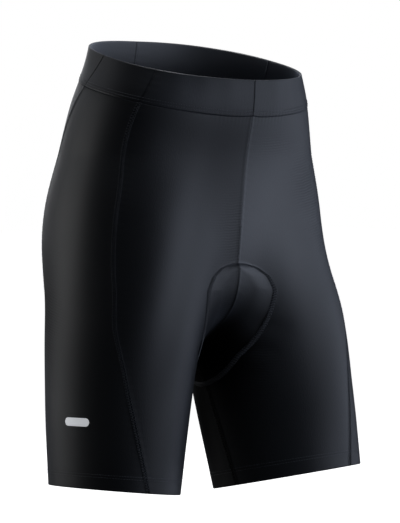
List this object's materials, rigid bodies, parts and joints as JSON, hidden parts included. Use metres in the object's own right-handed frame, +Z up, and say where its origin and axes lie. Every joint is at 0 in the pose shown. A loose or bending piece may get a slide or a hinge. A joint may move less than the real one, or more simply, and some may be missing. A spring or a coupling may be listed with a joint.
{
  "type": "cycling shorts",
  "caption": "Close-fitting stretch cycling shorts, filled out with no wearer, with shaped panels, an elastic waistband, a stitched seat pad and turned hems, one leg a step forward.",
  "frame": {"origin": "middle of the waist opening, where the wearer's waist holds the shorts", "axes": "+X to the wearer's left, +Y to the wearer's back, +Z up"},
  "size_m": [0.351, 0.2333, 0.4799],
  "materials": {
    "front_cloth": "satin stretch knit",
    "side_cloth": "satin stretch knit",
    "back_cloth": "satin stretch knit",
    "waistband": "satin stretch knit over elastic",
    "pad": "brushed fleece over foam"
  },
  "bodies": {
    "root": {"front_right": "front_cloth", "side_right": "side_cloth", "back_right": "back_cloth", "waistband_front_right": "waistband", "waistband_side_right": "waistband", "waistband_back_right": "waistband", "front_left": "front_cloth", "side_left": "side_cloth", "back_left": "back_cloth", "waistband_front_left": "waistband", "waistband_side_left": "waistband", "waistband_back_left": "waistband", "seat_pad": "pad"}
  },
  "joints": []
}
